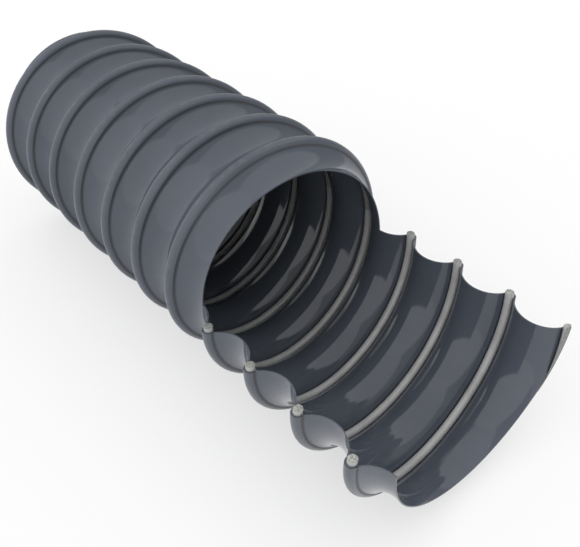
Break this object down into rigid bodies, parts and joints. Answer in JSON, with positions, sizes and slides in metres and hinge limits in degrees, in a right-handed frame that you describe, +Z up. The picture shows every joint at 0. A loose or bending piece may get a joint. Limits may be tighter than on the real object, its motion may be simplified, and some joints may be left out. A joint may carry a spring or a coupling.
{
  "type": "sewer hose cutaway length",
  "caption": "Ribbed waste hose, a sample length whose front half is cut open to show the film wall wound over its helix wire.",
  "frame": {"origin": "on the ground under the middle of the hose's length, where the hose lies on its side on the flats of its ribs", "axes": "+X along the hose towards the cut-open end, +Y to the side on which the front end plane slices the wire, +Z up, through the open top of the cut"},
  "size_m": [0.2244, 0.0836, 0.083],
  "materials": {
    "hose_film": "smooth semi-gloss thermoplastic film, slate grey",
    "helix_wire": "satin light-grey plastic-coated wire"
  },
  "bodies": {
    "root": {"hose_wall": "hose_film", "wire_coil": "helix_wire", "wire_hoop_1": "helix_wire", "wire_hoop_2": "helix_wire", "wire_hoop_3": "helix_wire", "wire_tip": "helix_wire"}
  },
  "joints": []
}
